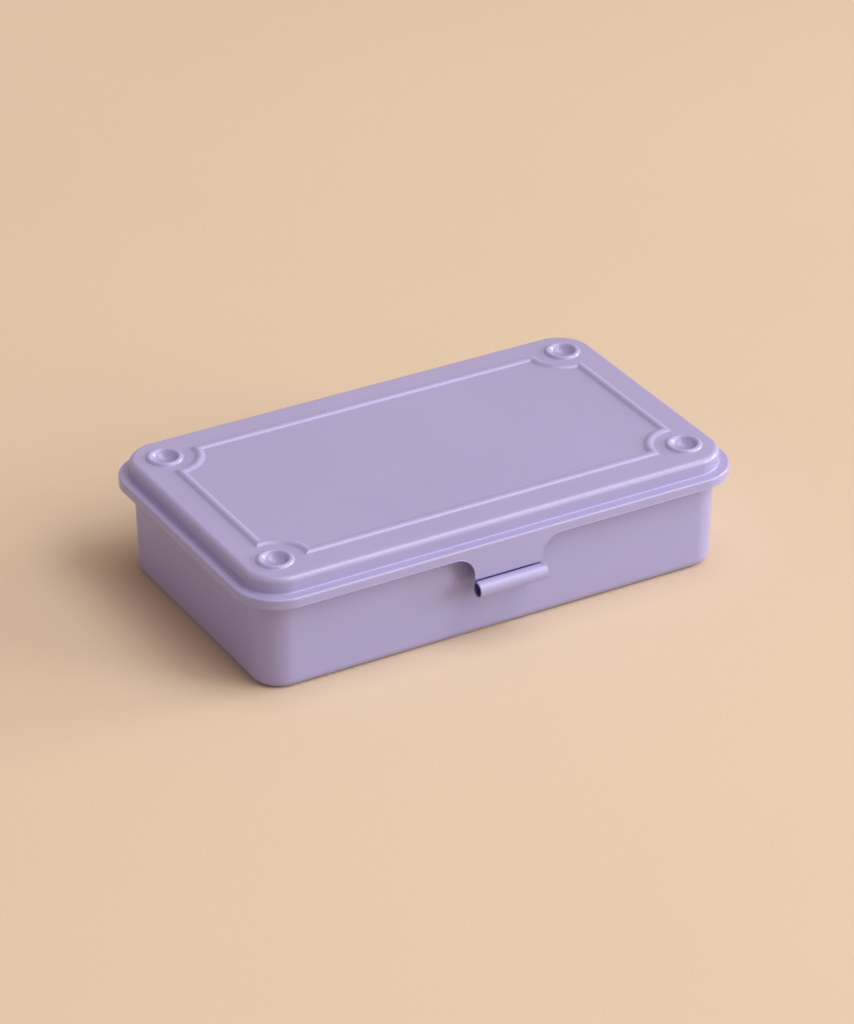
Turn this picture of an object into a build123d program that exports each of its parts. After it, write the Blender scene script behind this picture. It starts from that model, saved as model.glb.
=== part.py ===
from build123d import *
from math import atan2, cos, degrees, radians, sin, sqrt, tan
import os

# Small pressed-steel storage box, closed. Millimetres, +Z up, origin at the centre of the underside,
# +X along the long side, the latch at -Y and the hinges at +Y.

# Lid: outline over its rim, and heights above the table
lid_length = 203.0
lid_depth = 121.1
lid_height = 46.5
rim_corner_r = 17.5
flange_width = 4.05
plateau_rise = 6.2
skirt_height = 3.65
shoulder_r = 2.1
flange_edge_r = 0.8
wall_foot_r = 0.5

# Sheet, and the air between the lid and the box
sheet = 0.6
body_gap = 0.3

# Box: its walls stand inside the lid's rim and lean in towards the floor
wall_inset = 5.55
draft = 1.2
floor_edge_r = 3.6
rim_bend_r = 1.3
rim_roll_r = 1.25
rim_roll_turn = 250.0

# Raised bead round the top, scalloped about each corner pip
bead_inset_x = 16.9
bead_inset_y = 17.45
bead_half_width = 2.3
bead_flank_at = 1.36
bead_height = 0.9
scallop_r = 13.0

# Corner pips: a raised ring about a round dish
pip_inset_x = 16.8
pip_inset_y = 17.85
pip_ring_r = 5.7
pip_crest_r = 1.1
pip_height = 1.0
pip_dish_depth = 2.5
pip_foot_r = 0.45

# Front tongue: it folds back above the finger roll, drops behind it and rolls under, forward and up
tongue_width = 27.5
tongue_drop = 16.2
tongue_fillet_r = 8.0
tongue_bend_r = 0.4
tongue_bend_rise = 3.3
tongue_bend_drop = 0.55
roll_d = 6.0
roll_forward = 1.75
roll_end_at = 68.0

# Hinges: a bent leaf on each half, rolled into knuckles round a headed wire pin
hinge_spacing = 104.0
hinge_width = 24.0
knuckle_width = 10.4
knuckle_turn = 250.0
leaf_t = 0.8
leaf_bend_r = 1.2
leaf_foot_z = 22.0
leaf_edge_gap = 0.2
pin_d = 2.0
pin_clearance = 0.05
pin_head_d = 3.0
pin_head_t = 0.6
pin_head_edge_r = 0.4

# Catch behind the tongue
catch_width = 18.0
catch_t = 0.8
catch_bend_r = 1.0
catch_foot_z = 22.5
catch_top_z = 31.0
catch_lip = 5.0
catch_setback = 1.65

# Levels and outlines that follow from the sizes above
flange_top = lid_height - plateau_rise
skirt_bottom = flange_top - skirt_height
skirt_y = lid_depth / 2
rim_top = flange_top - sheet - body_gap
wall_top = rim_top - sheet / 2 - rim_bend_r
rim_reach = wall_inset - sheet - body_gap
box_length = lid_length - 2 * wall_inset
box_depth = lid_depth - 2 * wall_inset
box_corner_r = rim_corner_r - wall_inset
knuckle_inner_r = pin_d / 2 + pin_clearance
knuckle_mid_r = knuckle_inner_r + leaf_t / 2
knuckle_outer_r = knuckle_inner_r + leaf_t
axis_y = skirt_y - knuckle_inner_r
axis_z = skirt_bottom - body_gap - knuckle_outer_r

os.makedirs("parts", exist_ok=True)


def wall_y(z):
    """Half-depth of the box's outer wall face at height z."""
    return box_depth / 2 - (wall_top - z) * tan(radians(draft))


def strip_y(z, thickness):
    """Half-depth at height z of the middle of a strip that lies flat against the wall."""
    return wall_y(z) + thickness / 2 / cos(radians(draft))


def pan_form(shrink):
    """Solid with the pan's drafted outline, drawn in by shrink all round and below."""
    with BuildPart() as form:
        with BuildSketch(Plane.XY.offset(wall_top)):
            RectangleRounded(box_length - 2 * shrink, box_depth - 2 * shrink, box_corner_r - shrink)
        extrude(amount=shrink - wall_top, taper=draft)
        fillet(form.faces().sort_by(Axis.Z)[0].edges(), floor_edge_r - shrink)
    return form.part


def lid_form(shrink):
    """Solid with the lid's stepped outline, drawn in by shrink all round and on top."""
    inset = flange_width + shrink
    with BuildPart() as form:
        with BuildSketch(Plane.XY.offset(skirt_bottom)):
            RectangleRounded(lid_length - 2 * shrink, lid_depth - 2 * shrink, rim_corner_r - shrink)
        extrude(amount=skirt_height - shrink)
        fillet(form.faces().sort_by(Axis.Z)[-1].edges(), flange_edge_r - shrink)
        with BuildSketch(Plane.XY.offset(flange_top - shrink)):
            RectangleRounded(lid_length - 2 * inset, lid_depth - 2 * inset, rim_corner_r - inset)
        extrude(amount=plateau_rise)
        fillet(form.faces().sort_by(Axis.Z)[-1].edges(), shoulder_r - shrink)
        flange = form.faces().filter_by(Axis.Z).sort_by(Axis.Z)[-2]
        fillet(flange.inner_wires()[0].edges(), wall_foot_r + shrink)
    return form.part


def bead_arcs(shift):
    """One face of the sheet across the bead, in the open line context: shift 0 on top, sheet below."""
    slope = 2 * degrees(atan2(bead_height, bead_half_width))
    crown_r = bead_flank_at / sin(radians(slope))
    flank_r = (bead_half_width - bead_flank_at) / sin(radians(slope))
    CenterArc((-bead_half_width, flank_r), flank_r + shift, -90, slope)
    CenterArc((0, bead_height - crown_r), crown_r - shift, 90 + slope, -2 * slope)
    CenterArc((bead_half_width, flank_r), flank_r + shift, -90 - slope, slope)


def pip_reach():
    """Radius at which a pip's outer foot runs out into the flat top."""
    rise = pip_foot_r + pip_crest_r - pip_height
    return pip_ring_r + sqrt((pip_crest_r + pip_foot_r) ** 2 - rise**2)


def pip_arcs(shift):
    """One face of the sheet from a pip's axis outward: shift 0 on top, sheet below."""
    crest_y = pip_height - pip_crest_r
    drop = pip_dish_depth + pip_crest_r
    dish_y = (pip_ring_r**2 + crest_y**2 - drop**2) / (2 * (drop + crest_y))
    dish_turn = degrees(atan2(pip_ring_r, dish_y - crest_y))
    lean = degrees(atan2(pip_foot_r - crest_y, pip_reach() - pip_ring_r))
    CenterArc((0, dish_y), dish_y + pip_dish_depth + shift, -90, dish_turn)
    CenterArc((pip_ring_r, crest_y), pip_crest_r - shift, 90 + dish_turn, lean - 90 - dish_turn)
    CenterArc((pip_reach(), pip_foot_r), pip_foot_r + shift, 180 + lean, 90 - lean)


# Drawn pan, its rim turned outward and rolled under, swept a quarter at a time
with BuildPart() as rim_quarter:
    with BuildLine(Plane.XY.offset(wall_top)) as rim_path:
        FilletPolyline(
            (0, box_depth / 2),
            (box_length / 2, box_depth / 2),
            (box_length / 2, 0),
            radius=box_corner_r,
        )
    with BuildSketch(Plane((0, box_depth / 2, wall_top), x_dir=(0, 1, 0), z_dir=(1, 0, 0))):
        with BuildLine():
            flat_y = rim_bend_r
            roll_x = rim_reach - rim_roll_r
            CenterArc((rim_bend_r - sheet / 2, 0), rim_bend_r, 180, -90)
            Line((rim_bend_r - sheet / 2, flat_y), (roll_x, flat_y))
            CenterArc((roll_x, flat_y + sheet / 2 - rim_roll_r), rim_roll_r - sheet / 2, 90, -rim_roll_turn)
        trace(line_width=sheet)
    sweep(path=rim_path.wire())
    mirror(about=Plane.YZ)
    mirror(about=Plane.XZ)

with BuildPart() as box_body:
    add(pan_form(0))
    add(pan_form(sheet), mode=Mode.SUBTRACT)
    add(rim_quarter.part)
box_body.part.label = "box_body"
export_step(box_body.part, "parts/box_body.step")

# Bead: the strip of flat sheet that it replaces, and the pressed strip itself
bead_x = lid_length / 2 - bead_inset_x
bead_y = lid_depth / 2 - bead_inset_y
with BuildLine(Plane.XY.offset(lid_height)) as bead_path:
    Line((0, bead_y), (bead_x - scallop_r, bead_y))
    CenterArc((bead_x, bead_y), scallop_r, 180, 90)
    Line((bead_x, bead_y - scallop_r), (bead_x, 0))
bead_plane = Plane((0, bead_y, lid_height), x_dir=(0, 1, 0), z_dir=(1, 0, 0))
with BuildPart() as bead_slot:
    with BuildSketch(bead_plane):
        Rectangle(2 * bead_half_width, sheet, align=(Align.CENTER, Align.MAX))
    sweep(path=bead_path.wire(), transition=Transition.RIGHT)
    mirror(about=Plane.YZ)
    mirror(about=Plane.XZ)
with BuildPart() as bead:
    with BuildSketch(bead_plane):
        with BuildLine():
            bead_arcs(0)
            bead_arcs(sheet)
            Line((-bead_half_width, 0), (-bead_half_width, -sheet))
            Line((bead_half_width, 0), (bead_half_width, -sheet))
        make_face()
    sweep(path=bead_path.wire(), transition=Transition.RIGHT)
    mirror(about=Plane.YZ)
    mirror(about=Plane.XZ)

# One pip, as a turned dish of the same sheet
with BuildPart() as pip:
    with BuildSketch(Plane.XZ):
        with BuildLine():
            pip_arcs(0)
            pip_arcs(sheet)
            Line((0, -pip_dish_depth), (0, -pip_dish_depth - sheet))
            Line((pip_reach(), 0), (pip_reach(), -sheet))
        make_face()
    revolve(axis=Axis.Z)

# Lid: drawn shell with bead and pips, and the front tongue with the roll at its end
pip_x = lid_length / 2 - pip_inset_x
pip_y = lid_depth / 2 - pip_inset_y
roll_mid_r = (roll_d - sheet) / 2
roll_y = sheet / 2 - skirt_y - roll_forward
roll_z = skirt_bottom - tongue_drop + roll_d / 2
bend_z = roll_z + tongue_bend_rise
tongue_flat = skirt_bottom - bend_z - sheet
with BuildPart() as lid:
    add(lid_form(0))
    add(lid_form(sheet), mode=Mode.SUBTRACT)
    add(bead_slot.part, mode=Mode.SUBTRACT)
    add(bead.part)
    with Locations((0, 0, lid_height)):
        with GridLocations(2 * pip_x, 2 * pip_y, 2, 2):
            Cylinder(pip_reach(), sheet, align=(Align.CENTER, Align.CENTER, Align.MAX), mode=Mode.SUBTRACT)
            add(pip.part)
    with BuildSketch(Plane.XZ.offset(skirt_y)):
        with Locations((0, skirt_bottom)):
            Rectangle(tongue_width, tongue_flat, align=(Align.CENTER, Align.MAX))
            Rectangle(tongue_width + 2 * tongue_fillet_r, tongue_fillet_r, align=(Align.CENTER, Align.MAX))
        with Locations((0, skirt_bottom - tongue_fillet_r)):
            with GridLocations(tongue_width + 2 * tongue_fillet_r, 1, 2, 1):
                Circle(tongue_fillet_r, mode=Mode.SUBTRACT)
    extrude(amount=-sheet)
    with BuildSketch(Plane.YZ):
        with BuildLine():
            FilletPolyline(
                (sheet / 2 - skirt_y, skirt_bottom - tongue_flat),
                (sheet / 2 - skirt_y, bend_z),
                (roll_y + roll_mid_r, bend_z - tongue_bend_drop),
                (roll_y + roll_mid_r, roll_z),
                radius=tongue_bend_r,
            )
            CenterArc((roll_y, roll_z), roll_mid_r, 0, roll_end_at - 360)
        trace(line_width=sheet)
    extrude(amount=tongue_width / 2, both=True)
lid.part.label = "lid"
export_step(lid.part, "parts/lid.step")

# Catch: bent strike on the front wall, its lip behind the tongue and clear of the roll's path
lip_y = skirt_y - sheet - body_gap - catch_t / 2 - catch_setback
with BuildPart() as latch_catch:
    with BuildSketch(Plane.YZ):
        with BuildLine():
            FilletPolyline(
                (-strip_y(catch_foot_z, catch_t), catch_foot_z),
                (-strip_y(catch_top_z, catch_t), catch_top_z),
                (-lip_y, catch_top_z),
                (-lip_y, catch_top_z - catch_lip),
                radius=catch_bend_r,
            )
        trace(line_width=catch_t)
    extrude(amount=catch_width / 2, both=True)
latch_catch.part.label = "latch_catch"
export_step(latch_catch.part, "parts/latch_catch.step")

# Hinges, left and right alike
run_z = axis_z - knuckle_mid_r
plate_y = skirt_y + leaf_t / 2
plate_top = flange_top - flange_edge_r - leaf_edge_gap
notch = 2 * (knuckle_outer_r + body_gap)
for side, hinge_x in (("left", -hinge_spacing / 2), ("right", hinge_spacing / 2)):
    hinge_plane = Plane.YZ.offset(hinge_x)

    with BuildPart() as box_leaf:
        with BuildSketch(hinge_plane):
            with BuildLine():
                FilletPolyline(
                    (strip_y(leaf_foot_z, leaf_t), leaf_foot_z),
                    (strip_y(run_z, leaf_t), run_z),
                    (axis_y, run_z),
                    radius=leaf_bend_r,
                )
                CenterArc((axis_y, axis_z), knuckle_mid_r, -90, knuckle_turn)
            trace(line_width=leaf_t)
        extrude(amount=hinge_width / 2, both=True)
        with Locations((hinge_x, axis_y, axis_z)):
            Box(knuckle_width + 2 * body_gap, notch, notch, mode=Mode.SUBTRACT)
    box_leaf.part.label = f"hinge_{side}_box_leaf"
    export_step(box_leaf.part, f"parts/hinge_{side}_box_leaf.step")

    with BuildPart() as lid_leaf:
        with BuildSketch(hinge_plane):
            with BuildLine():
                Line((plate_y, plate_top), (plate_y, axis_z))
                CenterArc((axis_y, axis_z), knuckle_mid_r, 0, -knuckle_turn)
            trace(line_width=leaf_t)
        extrude(amount=knuckle_width / 2, both=True)
        with Locations((hinge_x, skirt_y, plate_top)):
            Box(
                hinge_width,
                leaf_t,
                plate_top - skirt_bottom,
                align=(Align.CENTER, Align.MIN, Align.MAX),
            )
    lid_leaf.part.label = f"hinge_{side}_lid_leaf"
    export_step(lid_leaf.part, f"parts/hinge_{side}_lid_leaf.step")

    with BuildPart() as pin:
        with BuildSketch(hinge_plane):
            with Locations((axis_y, axis_z)):
                Circle(pin_d / 2)
        extrude(amount=hinge_width / 2, both=True)
        for end in (-1, 1):
            with BuildSketch(Plane.YZ.offset(hinge_x + end * hinge_width / 2)):
                with Locations((axis_y, axis_z)):
                    Circle(pin_head_d / 2)
            extrude(amount=end * pin_head_t)
        heads = pin.faces().filter_by(Axis.X).sort_by(Axis.X)
        fillet([heads[0].edges()[0], heads[-1].edges()[0]], pin_head_edge_r)
    pin.part.label = f"hinge_{side}_pin"
    export_step(pin.part, f"parts/hinge_{side}_pin.step")
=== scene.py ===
import bmesh
import bpy
from math import asin, atan2, cos, degrees, pi, radians, sin, sqrt, tan
from mathutils import Matrix, Vector
from mathutils.geometry import delaunay_2d_cdt


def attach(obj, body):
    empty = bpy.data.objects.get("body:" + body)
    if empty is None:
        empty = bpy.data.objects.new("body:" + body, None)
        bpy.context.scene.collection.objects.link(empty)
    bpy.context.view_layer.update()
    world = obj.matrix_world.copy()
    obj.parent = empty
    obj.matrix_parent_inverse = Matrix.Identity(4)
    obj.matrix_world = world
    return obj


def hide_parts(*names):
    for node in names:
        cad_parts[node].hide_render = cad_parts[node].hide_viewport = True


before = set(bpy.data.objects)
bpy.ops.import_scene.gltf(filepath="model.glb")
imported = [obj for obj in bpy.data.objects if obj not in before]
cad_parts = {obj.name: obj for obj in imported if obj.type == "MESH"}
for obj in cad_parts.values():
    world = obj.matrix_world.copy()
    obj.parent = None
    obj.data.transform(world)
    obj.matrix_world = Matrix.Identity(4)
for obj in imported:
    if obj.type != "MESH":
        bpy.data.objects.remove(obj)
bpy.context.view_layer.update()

# Small pressed-steel storage box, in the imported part's frame: +Z up, the latch at -Y and the hinges at +Y.
# Sizes of the box are in millimetres, and its meshes in metres. The stage's sizes are in metres.
MM = 0.001

# Sheet and lid
sheet = 0.6
cut_edge_r = 0.2
edge_bead_r = 0.36
lid_half_x = 101.5
lid_half_y = 60.55
lid_top = 46.5
rim_corner_r = 17.5
flange_width = 4.05
flange_top = 40.3
skirt_bottom = 36.65
shoulder_r = 2.1
flange_edge_r = 0.8
wall_foot_r = 0.5
top_crown = 0.08
crown_depth = 1.0

# Raised bead and corner pips
bead_x = 84.6
bead_y = 43.1
bead_half_width = 2.3
bead_flank_at = 1.36
bead_height = 0.9
scallop_r = 13.0
mitre_ease = 0.5
pip_x = 84.7
pip_y = 42.7
pip_ring_r = 5.7
pip_crest_r = 1.1
pip_height = 1.0
pip_dish_depth = 2.5
pip_foot_r = 0.45
pip_sides = 56

# Mesh of the flat top: where its outermost line lies in from the rim, the spacing of its loose points, and
# how far these keep from the pips, the bead and the corners
flat_top_in = 8.0
grid_pitch = 5.0
grid_half_x = 90.0
grid_half_y = 50.0
clear_of_pip = 9.5
clear_of_bead = 3.2
corner_from_x = 80.0
corner_from_y = 40.0

# Front tongue and finger roll
tongue_half = 13.75
tongue_fillet_r = 8.0
tongue_root = skirt_bottom - tongue_fillet_r
tongue_bend_r = 0.4
tongue_bend_rise = 3.3
tongue_bend_drop = 0.55
roll_z = 23.45
roll_mid_r = 2.7
roll_forward = 1.75
roll_end_at = 68.0

# Painted shade in the hollow of the finger roll starts at this row of the tongue's mesh, counted from its
# root, and comes in fully over this many rows
painted_shade_from = 4
painted_shade_over = 3

# Box
box_half_x = 95.95
box_half_y = 55.0
box_corner_r = 11.95
wall_top = 37.8
draft = radians(1.2)
floor_edge_r = 3.6
floor_border = 1.5
rim_bend_r = 1.0
rim_roll_at = 3.4
rim_roll_r = 0.65
rim_roll_z = 0.35

# Half the straight part of each side, which the lid and the box share, and the steps along the whole of it
straight_x = lid_half_x - rim_corner_r
straight_y = lid_half_y - rim_corner_r
long_steps = 24
short_steps = 12

# Hinges; each step round a knuckle is longer than the ease on its cut edge
hinge_x = 52.0
leaf_t = 0.8
leaf_half = 12.0
knuckle_half = 5.2
knuckle_gap = 0.3
knuckle_r = 1.45
knuckle_turn = 250.0
knuckle_steps = 22
axis_y = 59.5
axis_z = 34.5
leaf_bend_r = 1.2
leaf_foot_z = 22.0
plate_y = 60.95
plate_top = 39.3
plate_corner_r = 0.8
plate_drops = [0.0, 0.25, 0.55, 0.85, 1.7]

# Rounded lower corners of the leaf on the box and of the catch
foot_corner_r = 2.0
foot_rises = [0.0, 0.15, 0.5, 1.1, foot_corner_r]

# Catch
catch_half = 9.0
catch_foot_z = 22.5
catch_top_z = 31.0
catch_y = -57.6
catch_lip = 5.0
catch_bend_r = 1.0

# Spot welds: distances from the middle of their strip and from its end, and sizes of the marks
leaf_weld_x = 7.0
leaf_weld_rise = 4.0
plate_weld_x = 8.6
catch_weld_x = 5.0
catch_weld_rise = 3.2
strip_weld_r = 1.2
plate_weld_r = 0.8
weld_ridge_r = 0.2

# Points of a strip this near each other are one, and so are points and lines of a flat sheet
merge_within = 0.001
touching = 1e-5


def arc(u, z, r, start, turn, steps):
    """Points on an arc in a section, from an angle in degrees through a turn."""
    angles = [radians(start + turn * i / steps) for i in range(steps + 1)]
    return [(u + r * cos(a), z + r * sin(a)) for a in angles]


def bent(points, r, steps=6):
    """Section line whose corners are bent to a radius."""
    line = [Vector(p) for p in points]
    made = [line[0]]
    for before, corner, after in zip(line, line[1:], line[2:]):
        back, ahead = (before - corner).normalized(), (after - corner).normalized()
        half = back.angle(ahead) / 2
        centre = corner + (back + ahead).normalized() * r / sin(half)
        start = corner + back * r / tan(half) - centre
        turn = start.angle_signed(corner + ahead * r / tan(half) - centre)
        made += [centre + Matrix.Rotation(-turn * i / steps, 2) @ start for i in range(steps + 1)]
    return made + [line[-1]]


def shifted(path, distance):
    """Section line moved to its right by a distance."""
    line = [Vector(p) for p in path]
    made = []
    for before, here, after in zip([line[0]] + line, line, line[1:] + [line[-1]]):
        along = (after - before).normalized()
        made.append(here + distance * Vector((along.y, -along.x)))
    return made


def spread(start, end, steps):
    """Evenly spaced numbers, both ends included."""
    return [start + (end - start) * i / steps for i in range(steps + 1)]


def stations(half_x, half_y, corner_r, long_at, short_at, corner_steps=24):
    """Places round a rounded outline, anticlockwise from its front: a point and its outward direction."""
    placed = []
    sides = (
        (-90, [(x, -half_y) for x in long_at]),
        (0, [(half_x, y) for y in short_at]),
        (90, [(-x, half_y) for x in long_at]),
        (180, [(-half_x, -y) for y in short_at]),
    )
    for facing, points in sides:
        out = Vector((cos(radians(facing)), sin(radians(facing))))
        placed += [(Vector(p), out) for p in points]
        centre = Vector(points[-1]) - corner_r * out
        for i in range(1, corner_steps):
            a = radians(facing + 90 * i / corner_steps)
            turned = Vector((cos(a), sin(a)))
            placed.append((centre + corner_r * turned, turned))
    return placed


def ring(bm, places, inset, z):
    """A ring of vertices drawn in from the outline; z is one height or one for each place."""
    heights = z if isinstance(z, list) else [z] * len(places)
    flat = [base - inset * out for base, out in places]
    return [bm.verts.new((p.x * MM, p.y * MM, h * MM)) for p, h in zip(flat, heights)]


def join(bm, rows, closed=False):
    """Faces between each row of vertices and the next."""
    for upper, lower in zip(rows, rows[1:]):
        for i in range(len(upper) - (not closed)):
            k = (i + 1) % len(upper)
            bm.faces.new((upper[i], lower[i], lower[k], upper[k]))


def fill(bm, edge, loops, loose, facing=1):
    """Sheet inside a ring of vertices, creased along each loop and passing through the loose points."""
    points, creases = [], []
    for loop in [[v.co / MM for v in edge]] + loops:
        creases += [(len(points) + i, len(points) + (i + 1) % len(loop)) for i in range(len(loop))]
        points += loop
    points += loose
    faces, origins = delaunay_2d_cdt([p.xy for p in points], creases, [], 0, touching)[2:4]
    verts = [edge[o[0]] if o[0] < len(edge) else bm.verts.new(points[o[0]] * MM) for o in origins]
    for face in faces:
        bm.faces.new([verts[i] for i in face[::facing]])


def piece(name, bm, material, thickness=0.0, offset=-1.0, edge_r=cut_edge_r):
    """Object made of a mesh; Solidify gives it the sheet's thickness, and Bevel eases its cut edges."""
    mesh = bpy.data.meshes.new(name)
    bm.normal_update()
    bm.to_mesh(mesh)
    bm.free()
    mesh.shade_smooth()
    mesh.materials.append(material)
    made = bpy.data.objects.new(name, mesh)
    bpy.context.scene.collection.objects.link(made)
    if thickness:
        wall = made.modifiers.new("sheet thickness", "SOLIDIFY")
        wall.thickness = thickness * MM
        wall.offset = offset
        wall.use_even_offset = True
        wall.use_quality_normals = True
        if edge_r:
            ease = made.modifiers.new("eased cut edge", "BEVEL")
            ease.width = edge_r * MM
            ease.segments = 2
            ease.angle_limit = radians(60)
        made.modifiers.new("even shading", "WEIGHTED_NORMAL").keep_sharp = True
    return made


# Finishes

# Dark violet painted shade for the hollow of the finger roll
painted_fold_shade = (0.13, 0.11, 0.29, 1.0)
backdrop = (0.66, 0.55, 0.47, 1.0)
card_in_shade = (0.62, 0.54, 0.47, 1.0)
room_light = (1.0, 0.81, 0.59, 1.0)
room_strength = 0.31

# Distances from the box, in metres, between which the card passes into the backdrop
card_fades_from = 0.9
card_fades_to = 3.0


def node(tree, kind, sockets=None, **settings):
    """A shader or geometry node with its settings, and each socket given a value or a link."""
    made = tree.nodes.new(kind)
    for name, value in settings.items():
        setattr(made, name, value)
    for name, value in (sockets or {}).items():
        if isinstance(value, bpy.types.NodeSocket):
            tree.links.new(value, made.inputs[name])
        else:
            made.inputs[name].default_value = value
    return made


def blended(tree, share, first, second):
    """Colour that passes from the first to the second as a share goes from 0 to 1."""
    colour_a, colour_b, colour_out = 6, 7, 2
    sockets = {"Factor": share, colour_a: first, colour_b: second}
    return node(tree, "ShaderNodeMix", sockets, data_type="RGBA").outputs[colour_out]


def group(name, kind, inputs, outputs):
    """Empty node group with named sockets, and its two end nodes."""
    tree = bpy.data.node_groups.new(name, kind)
    for label, (socket, value) in inputs.items():
        made = tree.interface.new_socket(label, in_out="INPUT", socket_type=socket)
        if value is not None:
            made.default_value = value
    for label, socket in outputs.items():
        tree.interface.new_socket(label, in_out="OUTPUT", socket_type=socket)
    return tree, tree.nodes.new("NodeGroupInput").outputs, tree.nodes.new("NodeGroupOutput").inputs


def noise(tree, at, scale, detail, **sockets):
    """Noise of 0 to 1 on a vector."""
    values = {"Vector": at, "Scale": scale, "Detail": detail, **sockets}
    return node(tree, "ShaderNodeTexNoise", values).outputs["Fac"]


def peel_group():
    """Orange peel of a sprayed, baked coat: small soft cells over a longer swell."""
    tree, given, out = group(
        "sprayed peel",
        "ShaderNodeTree",
        {
            "Cells per metre": ("NodeSocketFloat", 1100.0),
            "Swell per metre": ("NodeSocketFloat", 140.0),
            "Swell share": ("NodeSocketFloat", 0.5),
        },
        {"Height": "NodeSocketFloat"},
    )
    at = node(tree, "ShaderNodeTexCoord").outputs["Object"]
    cells = noise(tree, at, given["Cells per metre"], 1.0)
    swell = noise(tree, at, given["Swell per metre"], 1.0)
    both = node(tree, "ShaderNodeMix", {"Factor": given["Swell share"], "A": cells, "B": swell})
    tree.links.new(both.outputs["Result"], out["Height"])
    return tree


def mottle_group():
    """Slow change of shade over a surface, as a colour and as a mask."""
    tree, given, out = group(
        "slow mottle",
        "ShaderNodeTree",
        {
            "Patches per metre": ("NodeSocketFloat", 20.0),
            "Light": ("NodeSocketColor", (1, 1, 1, 1)),
            "Deep": ("NodeSocketColor", (0, 0, 0, 1)),
        },
        {"Color": "NodeSocketColor", "Mask": "NodeSocketFloat"},
    )
    at = node(tree, "ShaderNodeTexCoord").outputs["Object"]
    patches = noise(tree, at, given["Patches per metre"], 3.0, Roughness=0.55)
    mask = node(
        tree,
        "ShaderNodeMapRange",
        {"Value": patches, "From Min": 0.3, "From Max": 0.7},
        interpolation_type="SMOOTHSTEP",
    ).outputs["Result"]
    tree.links.new(blended(tree, mask, given["Deep"], given["Light"]), out["Color"])
    tree.links.new(mask, out["Mask"])
    return tree


def grain_group():
    """Fine grain, drawn out along an axis by the stretch given for each axis."""
    tree, given, out = group(
        "drawn grain",
        "ShaderNodeTree",
        {
            "Grains per metre": ("NodeSocketFloat", 2500.0),
            "Stretch": ("NodeSocketVector", (1, 1, 1)),
        },
        {"Height": "NodeSocketFloat"},
    )
    at = node(tree, "ShaderNodeTexCoord").outputs["Object"]
    drawn = node(tree, "ShaderNodeMapping", {"Vector": at, "Scale": given["Stretch"]})
    tree.links.new(noise(tree, drawn.outputs["Vector"], given["Grains per metre"], 2.0), out["Height"])
    return tree


def use(tree, inner, **values):
    """Place a node group in a material with its own values; underscores stand for spaces."""
    made = tree.nodes.new("ShaderNodeGroup")
    made.node_tree = inner
    for label, value in values.items():
        made.inputs[label.replace("_", " ")].default_value = value
    return made.outputs


def finish(name):
    """Empty node material, its nodes, and the inputs of its shader."""
    made = bpy.data.materials.new(name)
    made.use_nodes = True
    return made, made.node_tree, made.node_tree.nodes["Principled BSDF"].inputs


def gloss(tree, mask, low, high):
    """Roughness that goes from low to high with a mask."""
    return node(
        tree, "ShaderNodeMapRange", {"Value": mask, "To Min": low, "To Max": high}
    ).outputs["Result"]


def relief(tree, height, distance):
    """Normal of a surface raised by a height of 0 to 1 times a distance in millimetres."""
    return node(
        tree, "ShaderNodeBump", {"Height": height, "Distance": distance * MM, "Strength": 1.0}
    ).outputs["Normal"]


peel = peel_group()
mottle = mottle_group()
grain = grain_group()


def lilac_coat(name, painted_shade_at=None):
    """Satin baked enamel on the pressed steel; where an attribute is named, its colour passes into a painted
    shade by the attribute's share.
    """
    made, tree, shader = finish(name)
    shade = use(
        tree,
        mottle,
        Patches_per_metre=16.0,
        Light=(0.420, 0.366, 0.648, 1.0),
        Deep=(0.404, 0.350, 0.626, 1.0),
    )
    skin = use(tree, peel, Cells_per_metre=1100.0, Swell_per_metre=150.0, Swell_share=0.45)
    colour = shade["Color"]
    # Painted shade: the colour goes dark violet where the attribute marks the hollow of the roll
    if painted_shade_at:
        mark = node(tree, "ShaderNodeAttribute", attribute_name=painted_shade_at)
        colour = blended(tree, mark.outputs["Fac"], colour, painted_fold_shade)
    tree.links.new(colour, shader["Base Color"])
    tree.links.new(gloss(tree, shade["Mask"], 0.28, 0.32), shader["Roughness"])
    tree.links.new(relief(tree, skin["Height"], 0.012), shader["Normal"])
    shader["IOR"].default_value = 1.62
    return made


def pin_steel():
    """Bright zinc-plated wire, drawn along X."""
    made, tree, shader = finish("pin_steel")
    shade = use(
        tree,
        mottle,
        Patches_per_metre=400.0,
        Light=(0.66, 0.66, 0.64, 1.0),
        Deep=(0.50, 0.50, 0.49, 1.0),
    )
    lines = use(tree, grain, Grains_per_metre=6000.0, Stretch=(0.05, 1.0, 1.0))
    tree.links.new(shade["Color"], shader["Base Color"])
    tree.links.new(gloss(tree, shade["Mask"], 0.28, 0.4), shader["Roughness"])
    tree.links.new(relief(tree, lines["Height"], 0.01), shader["Normal"])
    shader["Metallic"].default_value = 1.0
    return made


def seen(tree):
    """1 where a ray comes from the camera, a reflection or a clear piece, and 0 where it only lights."""
    rays = node(tree, "ShaderNodeLightPath").outputs
    shown = rays["Is Camera Ray"]
    for kind in ("Is Glossy Ray", "Is Transmission Ray"):
        shown = node(tree, "ShaderNodeMath", {0: shown, 1: rays[kind]}, operation="MAXIMUM").outputs[0]
    return shown


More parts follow.
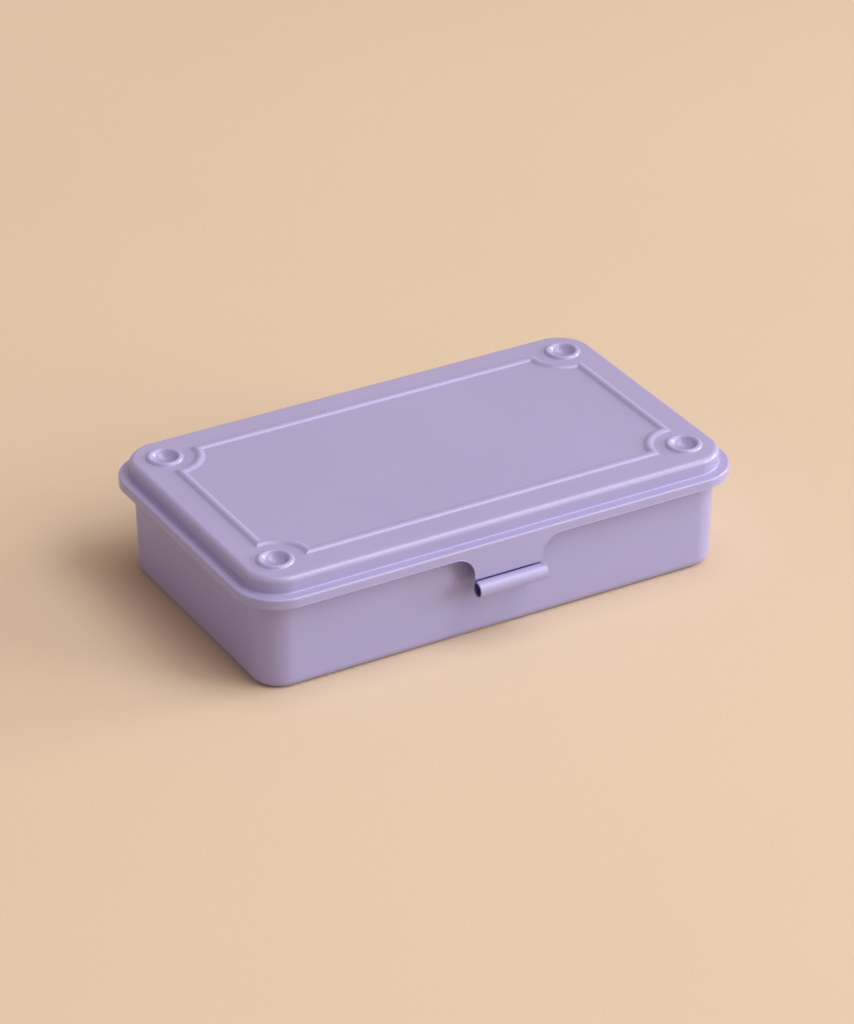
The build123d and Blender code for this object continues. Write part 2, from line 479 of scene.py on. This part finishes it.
def paper_floor():
    """Matt peach card that passes into the backdrop far away from the box."""
    made, tree, shader = finish("floor_card")
    shade = use(
        tree,
        mottle,
        Patches_per_metre=3.0,
        Light=(0.780, 0.598, 0.456, 1.0),
        Deep=(0.765, 0.583, 0.442, 1.0),
    )
    fibre = use(tree, grain, Grains_per_metre=700.0, Stretch=(1.0, 1.0, 1.0))
    rays = node(tree, "ShaderNodeLightPath").outputs
    colour = blended(tree, rays["Is Diffuse Ray"], shade["Color"], card_in_shade)
    tree.links.new(colour, shader["Base Color"])
    tree.links.new(relief(tree, fibre["Height"], 0.05), shader["Normal"])
    shader["Roughness"].default_value = 0.9
    shader["Specular IOR Level"].default_value = 0.2
    at = node(tree, "ShaderNodeTexCoord").outputs["Object"]
    away = node(tree, "ShaderNodeVectorMath", {0: at}, operation="LENGTH")
    far = node(
        tree,
        "ShaderNodeMapRange",
        {"Value": away.outputs["Value"], "From Min": card_fades_from, "From Max": card_fades_to},
        interpolation_type="SMOOTHSTEP",
    )
    share = node(tree, "ShaderNodeMath", {0: seen(tree), 1: far.outputs["Result"]}, operation="MULTIPLY")
    glow = node(tree, "ShaderNodeEmission", {"Color": backdrop, "Strength": 1.0})
    principled = tree.nodes["Principled BSDF"].outputs[0]
    mixed = node(tree, "ShaderNodeMixShader", {0: share.outputs[0], 1: principled, 2: glow.outputs[0]})
    tree.links.new(mixed.outputs[0], tree.nodes["Material Output"].inputs["Surface"])
    return made


coat = lilac_coat("lilac_coat")
# Coat with painted shade in the hollow of the finger roll
coat_with_painted_shade = lilac_coat("lilac_coat_painted_shade", "painted_shade_share")
steel = pin_steel()


# Lid

def bead_section():
    """Offset and height of each line across the bead, from its inner foot to its outer one."""
    slope = 2 * degrees(atan2(bead_height, bead_half_width))
    ridge_r = bead_flank_at / sin(radians(slope))
    flank_r = (bead_half_width - bead_flank_at) / sin(radians(slope))
    inner = arc(-bead_half_width, flank_r, flank_r, -90, slope, 5)
    ridge = arc(0, bead_height - ridge_r, ridge_r, 90 + slope, -2 * slope, 8)
    outer = arc(bead_half_width, flank_r, flank_r, -90 - slope, slope, 5)
    return inner + ridge[1:] + outer[1:]


def eased(before, corner, after, steps=4):
    """Points round a corner that is eased into a short curve."""
    return [
        (1 - s) ** 2 * before + 2 * s * (1 - s) * corner + s**2 * after for s in spread(0, 1, steps)
    ]


def bead_loop(offset, z):
    """Line along the bead, moved outward by an offset: straight sides, scalloped about each corner."""
    r = scallop_r - offset
    lean = degrees(asin(offset / r))
    reach = sqrt(r**2 - offset**2)
    ease = degrees(mitre_ease / r)
    side, end = bead_x + offset, bead_y + offset
    scallop = [Vector(p) for p in arc(bead_x, bead_y, r, 270 + lean - ease, 2 * (ease - lean) - 90, 24)]
    low, high = Vector((side, bead_y - reach)), Vector((bead_x - reach, end))
    quarter = [Vector((side, y)) for y in spread(0, low.y - mitre_ease, 6)[:-1]]
    quarter += eased(Vector((side, low.y - mitre_ease)), low, scallop[0])
    quarter += scallop[1:-1]
    quarter += eased(scallop[-1], high, Vector((high.x - mitre_ease, end)))
    quarter += [Vector((x, end)) for x in spread(high.x - mitre_ease, 0, 12)[1:]]
    loop = []
    for sx, sy, way in ((1, 1, 1), (-1, 1, -1), (-1, -1, 1), (1, -1, -1)):
        loop += [Vector((sx * p.x, sy * p.y, lid_top + z)) for p in quarter[::way]][:-1]
    return loop


def pip_section():
    """Radius and height of each line round a pip, from just off its centre outward."""
    crest_y = pip_height - pip_crest_r
    drop = pip_dish_depth + pip_crest_r
    dish_y = (pip_ring_r**2 + crest_y**2 - drop**2) / (2 * (drop + crest_y))
    turn = degrees(atan2(pip_ring_r, dish_y - crest_y))
    reach = pip_ring_r + sqrt((pip_crest_r + pip_foot_r) ** 2 - (pip_foot_r - crest_y) ** 2)
    lean = degrees(atan2(pip_foot_r - crest_y, reach - pip_ring_r))
    dish = arc(0, dish_y, dish_y + pip_dish_depth, -90, turn, 8)
    crest = arc(pip_ring_r, crest_y, pip_crest_r, 90 + turn, lean - 90 - turn, 8)
    foot = arc(reach, pip_foot_r, pip_foot_r, 180 + lean, 90 - lean, 4)
    return dish[1:] + crest[1:] + foot[1:]


def lid_top_lines():
    """Lines and loose points that shape the flat top between the bead and the pips."""
    loops = [bead_loop(offset, z) for offset, z in bead_section()]
    centres = [(sx * pip_x, sy * pip_y) for sx in (-1, 1) for sy in (-1, 1)]
    turns = [2 * pi * i / pip_sides for i in range(pip_sides)]
    for cx, cy in centres:
        for r, z in pip_section():
            loops.append([Vector((cx + r * cos(a), cy + r * sin(a), lid_top + z)) for a in turns])
    loose = [Vector((cx, cy, lid_top - pip_dish_depth)) for cx, cy in centres]
    for x in spread(-grid_half_x, grid_half_x, round(2 * grid_half_x / grid_pitch)):
        for y in spread(-grid_half_y, grid_half_y, round(2 * grid_half_y / grid_pitch)):
            from_pip = Vector((abs(x) - pip_x, abs(y) - pip_y)).length
            to_bead = max(abs(x) - bead_x, abs(y) - bead_y, scallop_r - from_pip)
            in_corner = abs(x) > corner_from_x and abs(y) > corner_from_y
            if from_pip > clear_of_pip and abs(to_bead) > clear_of_bead and not in_corner:
                loose.append(Vector((x, y, lid_top)))
    return loops, loose


def crown(bm):
    """The flat top swells by a hair towards its middle, all but the deep middles of the pips."""
    half_x, half_y = lid_half_x - flat_top_in, lid_half_y - flat_top_in
    for v in bm.verts:
        x, y, z = v.co / MM
        if z > lid_top - crown_depth and abs(x) < half_x and abs(y) < half_y:
            v.co.z += top_crown * (1 - (x / half_x) ** 2) * (1 - (y / half_y) ** 2) * MM


def skirt_foot(x):
    """Height of the skirt's lower end at a place on the front, where a fillet leads down to the tongue."""
    past = min(max(abs(x) - tongue_half, 0.0), tongue_fillet_r)
    return tongue_root + sqrt(tongue_fillet_r**2 - (tongue_fillet_r - past) ** 2)


def lid_section():
    """Inset and height of each line of the outer face, from the flat top to the flange's outer edge."""
    shoulder_in, shoulder_z = flange_width + shoulder_r, lid_top - shoulder_r
    foot_in, foot_z = flange_width - wall_foot_r, flange_top + wall_foot_r
    section = [(inset, lid_top) for inset in spread(flat_top_in, shoulder_in, 2)[:-1]]
    section += arc(shoulder_in, shoulder_z, shoulder_r, 90, 90, 10)
    section += [(flange_width, z) for z in spread(shoulder_z, foot_z, 3)[1:-1]]
    section += arc(foot_in, foot_z, wall_foot_r, 0, -90, 5)
    section += [(inset, flange_top) for inset in spread(foot_in, flange_edge_r, 3)[1:-1]]
    return section + arc(flange_edge_r, flange_top - flange_edge_r, flange_edge_r, 90, 90, 6)


def tongue_path():
    """Middle of the tongue's sheet in section: down, folded back, down again and round the finger roll."""
    front_y = sheet / 2 - lid_half_y
    roll_y = front_y - roll_forward
    back_y = roll_y + roll_mid_r
    bend_z = roll_z + tongue_bend_rise
    fold = [(front_y, tongue_root), (front_y, bend_z)]
    fold += [(back_y, bend_z - tongue_bend_drop), (back_y, roll_z)]
    return bent(fold, tongue_bend_r, 8) + arc(roll_y, roll_z, roll_mid_r, 0, roll_end_at - 360, 44)[1:]


def make_lid():
    """Lid in one sheet, from the top over the flange and skirt to the rolled end of the tongue."""
    bm = bmesh.new()
    painted_shade_share = bm.verts.layers.float.new("painted_shade_share")
    fillet_at = [tongue_half + tongue_fillet_r * (1 - cos(radians(a))) for a in spread(0, 90, 8)]
    long_at = (
        spread(-straight_x, -fillet_at[-1], 9)[:-1]
        + [-x for x in reversed(fillet_at)]
        + spread(-tongue_half, tongue_half, 8)[1:-1]
        + fillet_at
        + spread(fillet_at[-1], straight_x, 9)[1:]
    )
    short_at = spread(-straight_y, straight_y, short_steps)
    places = stations(lid_half_x, lid_half_y, rim_corner_r, long_at, short_at)
    rows = [ring(bm, places, inset, z) for inset, z in lid_section()]
    edge_z = flange_top - flange_edge_r
    foot = [skirt_foot(x) for x in long_at] + [skirt_bottom] * (len(places) - len(long_at))
    for share in spread(0, 1, 8)[1:]:
        rows.append(ring(bm, places, 0, [edge_z + (z - edge_z) * share for z in foot]))
    join(bm, rows, closed=True)
    fill(bm, rows[0], *lid_top_lines())
    crown(bm)

    columns = [i for i, x in enumerate(long_at) if abs(x) <= tongue_half]
    tongue = [[rows[-1][i] for i in columns]]
    for step, (y, z) in enumerate(shifted(tongue_path(), sheet / 2)[1:]):
        tongue.append([bm.verts.new((long_at[i] * MM, y * MM, z * MM)) for i in columns])
        # Rows past the fold get a rising share of painted shade, which darkens the hollow of the roll
        for v in tongue[-1]:
            v[painted_shade_share] = min(1.0, max(0.0, (step - painted_shade_from) / painted_shade_over))
    join(bm, tongue)
    # The outer face has the coat with painted shade; the inner face and the cut edges have the plain coat
    made = piece("pressed_lid", bm, coat_with_painted_shade, sheet)
    made.data.materials.append(coat)
    wall = made.modifiers["sheet thickness"]
    wall.material_offset = wall.material_offset_rim = 1
    return made


# Box

def make_box():
    """Pan in one sheet, from its rolled rim down the drafted walls and over the floor."""
    bm = bmesh.new()
    long_at = spread(-straight_x, straight_x, long_steps)
    short_at = spread(-straight_y, straight_y, short_steps)
    places = stations(box_half_x, box_half_y, box_corner_r, long_at, short_at)
    rim = arc(rim_bend_r, 0, rim_bend_r, 180, -90, 8)
    rim += [((rim_bend_r + rim_roll_at) / 2, rim_bend_r)]
    rim += arc(rim_roll_at, rim_roll_z, rim_roll_r, 90, -250, 18)
    lean = degrees(draft)
    lean_in = (wall_top - floor_edge_r) * tan(draft) + floor_edge_r / cos(draft)
    corner = arc(-lean_in, floor_edge_r, floor_edge_r, -lean, lean - 90, 10)
    section = [(-u, wall_top + z) for u, z in reversed(rim)]
    section += [((wall_top - z) * tan(draft), z) for z in spread(wall_top, corner[0][1], 8)[1:-1]]
    section += [(-u, z) for u, z in corner]
    section += [(lean_in + floor_border, 0.0)]
    rows = [ring(bm, places, inset, z) for inset, z in section]
    join(bm, rows, closed=True)
    fill(bm, rows[-1], [], [Vector((x, y, 0.0)) for x in long_at for y in short_at], facing=-1)
    return piece("drawn_box", bm, coat, sheet, edge_r=0.0)


# Hinges and catch

def wall_y(z, thickness):
    """How far out the middle of a strip lies at a height, where it is flat on the box's wall."""
    return box_half_y - (wall_top - z) * tan(draft) + thickness / 2 / cos(draft)


def strip(bm, section, columns):
    """Bent strip of sheet: rows of vertices along a section, each as wide as its columns say."""
    rows = []
    for (y, z), across in zip(section, columns):
        rows.append([bm.verts.new((x * MM, y * MM, z * MM)) for x in across])
    join(bm, rows)
    return rows


def rounded_end(half, r, inner, rises, further):
    """Columns of the rows at each rise from a strip's rounded end, and of the full rows further on."""
    edges = [half - r + sqrt(max(0.0, r**2 - max(0.0, r - rise) ** 2)) for rise in rises]
    return [[-e] + inner + [e] for e in edges + [half] * further]


def roll_knuckle(bm, start, turn_from, turn):
    """Roll a row of vertices round the hinge's axis."""
    section = arc(axis_y, axis_z, knuckle_r, turn_from, turn, knuckle_steps)
    rolled = [[bm.verts.new((v.co.x, y * MM, z * MM)) for v in start] for y, z in section]
    join(bm, [start] + rolled)


def strip_piece(name, bm, x):
    """Finish a strip made at the middle of the box and place it along the box."""
    bmesh.ops.remove_doubles(bm, verts=bm.verts, dist=merge_within * MM)
    bmesh.ops.translate(bm, verts=bm.verts, vec=(x * MM, 0, 0))
    return piece(name, bm, coat, leaf_t, 0.0)


def make_box_leaf(name, x):
    """Hinge leaf on the box: plate on the wall, bent out and rolled into the two outer knuckles."""
    bm = bmesh.new()
    run_z = axis_z - knuckle_r
    foot = [(wall_y(leaf_foot_z + rise, leaf_t), leaf_foot_z + rise) for rise in foot_rises]
    notch_y = axis_y - knuckle_r - leaf_t / 2 - knuckle_gap
    plate = bent([foot[-1], (wall_y(run_z, leaf_t), run_z), (notch_y, run_z)], leaf_bend_r)[1:]
    corner_at, gap_at = leaf_half - foot_corner_r, knuckle_half + knuckle_gap
    inner = [-corner_at, -gap_at, 0.0, gap_at, corner_at]
    rows = strip(bm, foot + plate, rounded_end(leaf_half, foot_corner_r, inner, foot_rises, len(plate)))
    for side in (slice(0, 3), slice(4, 7)):
        roll_knuckle(bm, rows[-1][side], -90, knuckle_turn)
    return strip_piece(name, bm, x)


def make_lid_leaf(name, x):
    """Hinge leaf on the lid's skirt: a plate and a tab rolled into the middle knuckle."""
    bm = bmesh.new()
    plate = [(plate_y, plate_top - drop) for drop in plate_drops] + [(plate_y, skirt_bottom)]
    corner_at = leaf_half - foot_corner_r
    inner = [-corner_at, -knuckle_half, 0.0, knuckle_half, corner_at]
    rows = strip(bm, plate, rounded_end(leaf_half, plate_corner_r, inner, plate_drops, 1))
    roll_knuckle(bm, rows[-1][2:5], 0, -knuckle_turn)
    return strip_piece(name, bm, x)


def make_catch():
    """Bent strike behind the tongue."""
    bm = bmesh.new()
    foot = [(-wall_y(catch_foot_z + rise, leaf_t), catch_foot_z + rise) for rise in foot_rises]
    top = (-wall_y(catch_top_z, leaf_t), catch_top_z)
    lip = [(catch_y, catch_top_z), (catch_y, catch_top_z - catch_lip)]
    upper = bent([foot[-1], top] + lip, catch_bend_r)[1:]
    corner_at = catch_half - foot_corner_r
    inner = [-corner_at, 0.0, corner_at]
    strip(bm, foot + upper, rounded_end(catch_half, foot_corner_r, inner, foot_rises, len(upper)))
    return strip_piece("latch_strike", bm, 0.0)


# Weld marks and edge coat

def circle(tree, r, sides):
    """Round closed curve."""
    made = node(tree, "GeometryNodeCurvePrimitiveCircle", {"Resolution": sides, "Radius": r})
    return made.outputs["Curve"]


def round_tube(tree, line, section):
    """Smooth tube along a curve, with a closed curve as its section."""
    tube = node(tree, "GeometryNodeCurveToMesh", {"Curve": line, "Profile Curve": section})
    smooth = node(tree, "GeometryNodeSetShadeSmooth", {"Geometry": tube.outputs["Mesh"]})
    return smooth.outputs["Geometry"]


def put_out(tree, geometry, material, out):
    """End of a geometry group: the geometry is made real, given its material and put out."""
    real = node(tree, "GeometryNodeRealizeInstances", {"Geometry": geometry})
    sockets = {"Geometry": real.outputs["Geometry"], "Material": material}
    coated = node(tree, "GeometryNodeSetMaterial", sockets)
    tree.links.new(coated.outputs["Geometry"], out)


def weld_tree():
    """Spot-weld marks: a low ring on each point of a mesh, turned to the direction stored there."""
    tree, given, out = group(
        "spot welds",
        "GeometryNodeTree",
        {
            "Points": ("NodeSocketGeometry", None),
            "Ring radius": ("NodeSocketFloat", 0.0011),
            "Ridge radius": ("NodeSocketFloat", 0.0002),
            "Finish": ("NodeSocketMaterial", None),
        },
        {"Marks": "NodeSocketGeometry"},
    )
    mark = round_tube(tree, circle(tree, given["Ring radius"], 28), circle(tree, given["Ridge radius"], 10))
    facing = node(tree, "GeometryNodeInputNamedAttribute", {"Name": "facing"}, data_type="FLOAT_VECTOR")
    sockets = {"Vector": facing.outputs["Attribute"]}
    turned = node(tree, "FunctionNodeAlignRotationToVector", sockets, axis="Z")
    sockets = {"Points": given["Points"], "Instance": mark, "Rotation": turned.outputs["Rotation"]}
    placed = node(tree, "GeometryNodeInstanceOnPoints", sockets)
    put_out(tree, placed.outputs["Instances"], given["Finish"], out["Marks"])
    return tree


def edge_tree():
    """Thick line of coat along a loop of edges."""
    tree, given, out = group(
        "coat on a cut edge",
        "GeometryNodeTree",
        {
            "Edge": ("NodeSocketGeometry", None),
            "Bead radius": ("NodeSocketFloat", 0.0003),
            "Finish": ("NodeSocketMaterial", None),
        },
        {"Bead": "NodeSocketGeometry"},
    )
    line = node(tree, "GeometryNodeMeshToCurve", {"Mesh": given["Edge"]})
    bead = round_tube(tree, line.outputs["Curve"], circle(tree, given["Bead radius"], 12))
    put_out(tree, bead, given["Finish"], out["Bead"])
    return tree


def grown(name, mesh, tree, settings):
    """Object that a geometry group grows on a mesh with its own settings, made a plain mesh."""
    made = bpy.data.objects.new(name, mesh)
    bpy.context.scene.collection.objects.link(made)
    step = made.modifiers.new("grown", "NODES")
    step.node_group = tree
    sockets = {i.name: i.identifier for i in tree.interface.items_tree if i.in_out == "INPUT"}
    for label, value in settings.items():
        step[sockets[label]] = value
    shown = made.evaluated_get(bpy.context.evaluated_depsgraph_get())
    plain = bpy.data.meshes.new_from_object(shown)
    made.modifiers.clear()
    made.data = plain
    return made


def make_welds(name, tree, spots, ring_r):
    """Weld marks of one body, from their points and directions."""
    mesh = bpy.data.meshes.new(name + " points")
    mesh.from_pydata([Vector(at) * MM for at, _ in spots], [], [])
    facing = mesh.attributes.new("facing", "FLOAT_VECTOR", "POINT")
    for item, (_, way) in zip(facing.data, spots):
        item.vector = way
    sizes = {"Ring radius": ring_r * MM, "Ridge radius": weld_ridge_r * MM, "Finish": coat}
    return grown(name, mesh, tree, sizes)


def make_edge_bead(name, sheet_face):
    """Coat gathered on the cut edge of a sheet, along the border of its outer face."""
    bm = bmesh.new()
    bm.from_mesh(sheet_face)
    bm.normal_update()
    edges = [e for e in bm.edges if e.is_boundary]
    order = {v: i for i, v in enumerate(dict.fromkeys(v for e in edges for v in e.verts))}
    mesh = bpy.data.meshes.new(name + " line")
    mesh.from_pydata(
        [v.co - v.normal * sheet / 2 * MM for v in order],
        [[order[v] for v in e.verts] for e in edges],
        [],
    )
    bm.free()
    return grown(name, mesh, edge_tree(), {"Bead radius": edge_bead_r * MM, "Finish": coat})


def weld_spots():
    """Places and directions of the welds on the box and on the lid."""
    on_box, on_lid = [], []
    slope = Vector((0, cos(draft), -sin(draft)))
    leaf_z = leaf_foot_z + leaf_weld_rise
    catch_z = catch_foot_z + catch_weld_rise
    for x in (-hinge_x, hinge_x):
        for dx in (-leaf_weld_x, 0.0, leaf_weld_x):
            on_box.append(((x + dx, wall_y(leaf_z, 2 * leaf_t), leaf_z), slope))
        for dx in (-plate_weld_x, plate_weld_x):
            at = (x + dx, plate_y + leaf_t / 2, (plate_top + skirt_bottom) / 2)
            on_lid.append((at, Vector((0, 1, 0))))
    for x in (-catch_weld_x, catch_weld_x):
        on_box.append(((x, -wall_y(catch_z, 2 * leaf_t), catch_z), Vector((0, -slope.y, slope.z))))
    return on_box, on_lid


def place(made, body, slot_name, *nodes):
    """Hang a piece on the empty of the body that it rides on, and hide the imported nodes that it stands
    for. The finish's slot name is not used.
    """
    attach(made, body)
    if nodes:
        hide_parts(*nodes)


pressed_lid = make_lid()
place(pressed_lid, "lid", "lilac_coat", "lid")
place(make_edge_bead("coat_on_lid_edge", pressed_lid.data), "lid", "lilac_coat")
place(make_box(), "box", "lilac_coat", "box_body")
place(make_catch(), "box", "lilac_coat", "latch_catch")
for side, x in (("left", -hinge_x), ("right", hinge_x)):
    place(make_box_leaf(f"{side}_leaf_on_box", x), "box", "lilac_coat", f"hinge_{side}_box_leaf")
    place(make_lid_leaf(f"{side}_leaf_on_lid", x), "lid", "lilac_coat", f"hinge_{side}_lid_leaf")
    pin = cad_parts[f"hinge_{side}_pin"]
    pin.data.materials.clear()
    pin.data.materials.append(steel)
welds = weld_tree()
on_box, on_lid = weld_spots()
place(make_welds("welds_on_box", welds, on_box, strip_weld_r), "box", "lilac_coat")
place(make_welds("welds_on_lid", welds, on_lid, plate_weld_r), "lid", "lilac_coat")


# Stage

card_half = 20.0
camera_lens = 150.3
camera_sensor = 36.0
camera_from = (-0.680346, -1.188989, 0.794493)
camera_toward = (0.4329, 0.7555, -0.49166)


def make_floor():
    """Wide flat card under the box."""
    bm = bmesh.new()
    bmesh.ops.create_grid(bm, x_segments=8, y_segments=8, size=card_half)
    made = piece("card_floor", bm, paper_floor())


def lamp(name, bearing, height, distance, size, power, colour):
    """Soft round lamp that shines at the box from a bearing and a height in degrees."""
    across = cos(radians(height))
    toward = Vector((across * cos(radians(bearing)), across * sin(radians(bearing)), sin(radians(height))))
    light = bpy.data.lights.new(name, "AREA")
    light.shape = "DISK"
    light.size = size
    light.energy = power
    light.color = colour
    made = bpy.data.objects.new(name, light)
    made.location = toward * distance
    made.rotation_euler = (-made.location).to_track_quat("-Z", "Y").to_euler()
    bpy.context.scene.collection.objects.link(made)


def studio_air():
    """Pale room: a low even light on the box, and the backdrop's colour where it is seen or mirrored."""
    world = bpy.data.worlds.new("studio air")
    bpy.context.scene.world = world
    world.use_nodes = True
    tree = world.node_tree
    room = node(tree, "ShaderNodeBackground", {"Color": room_light, "Strength": room_strength})
    behind = node(tree, "ShaderNodeBackground", {"Color": backdrop, "Strength": 1.0})
    mixed = node(tree, "ShaderNodeMixShader", {0: seen(tree), 1: room.outputs[0], 2: behind.outputs[0]})
    tree.links.new(mixed.outputs[0], tree.nodes["World Output"].inputs["Surface"])


make_floor()
lamp("key", 320, 56, 3.6, 1.9, 38.0, (0.95, 0.99, 1.0))
lamp("overhead", 330, 84, 3.6, 2.0, 25.0, (0.93, 0.96, 1.0))
lamp("front window", 287, 46, 3.6, 1.6, 23.0, (0.94, 0.98, 0.94))
lamp("side window", 316, 16, 5.0, 2.4, 109.0, (0.86, 0.97, 0.91))
lamp("right window", 350, 12, 5.0, 2.0, 118.0, (0.95, 0.98, 0.97))
lamp("left window", 172, 14, 3.6, 1.7, 10.0, (0.6, 0.70, 1.0))
studio_air()

camera = bpy.data.objects.new("camera", bpy.data.cameras.new("camera"))
camera.data.lens = camera_lens
camera.data.sensor_width = camera_sensor
camera.data.clip_start = 0.05
camera.location = camera_from
camera.rotation_euler = Vector(camera_toward).to_track_quat("-Z", "Y").to_euler()
bpy.context.scene.collection.objects.link(camera)
bpy.context.scene.camera = camera
bpy.context.scene.view_settings.view_transform = "Standard"

bpy.context.view_layer.update()
